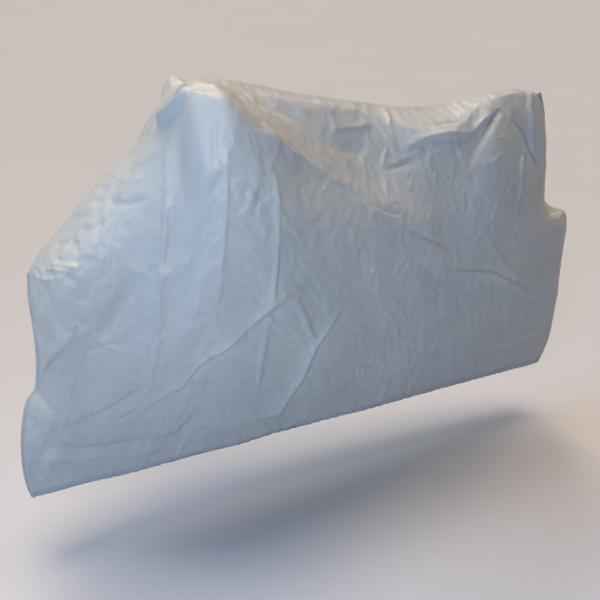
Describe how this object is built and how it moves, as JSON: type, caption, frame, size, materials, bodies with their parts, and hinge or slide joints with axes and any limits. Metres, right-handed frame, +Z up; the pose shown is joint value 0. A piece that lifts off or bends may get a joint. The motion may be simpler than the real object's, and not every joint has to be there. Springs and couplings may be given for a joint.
{
  "type": "bicycle cover",
  "caption": "Fitted bicycle cover: a bag of thin coated cloth, folded over its top line, sewn up at the front and rear, open below and hanging in its own folds.",
  "frame": {"origin": "the point under the top line that holds the cover up, on the cloth's inner face", "axes": "+X towards the rear, +Y towards the far side, +Z up"},
  "size_m": [1.8152, 0.5583, 1.065],
  "materials": {
    "cloth": "smooth coated cloth, half glossy"
  },
  "bodies": {
    "root": {"cover": "cloth"}
  },
  "joints": []
}
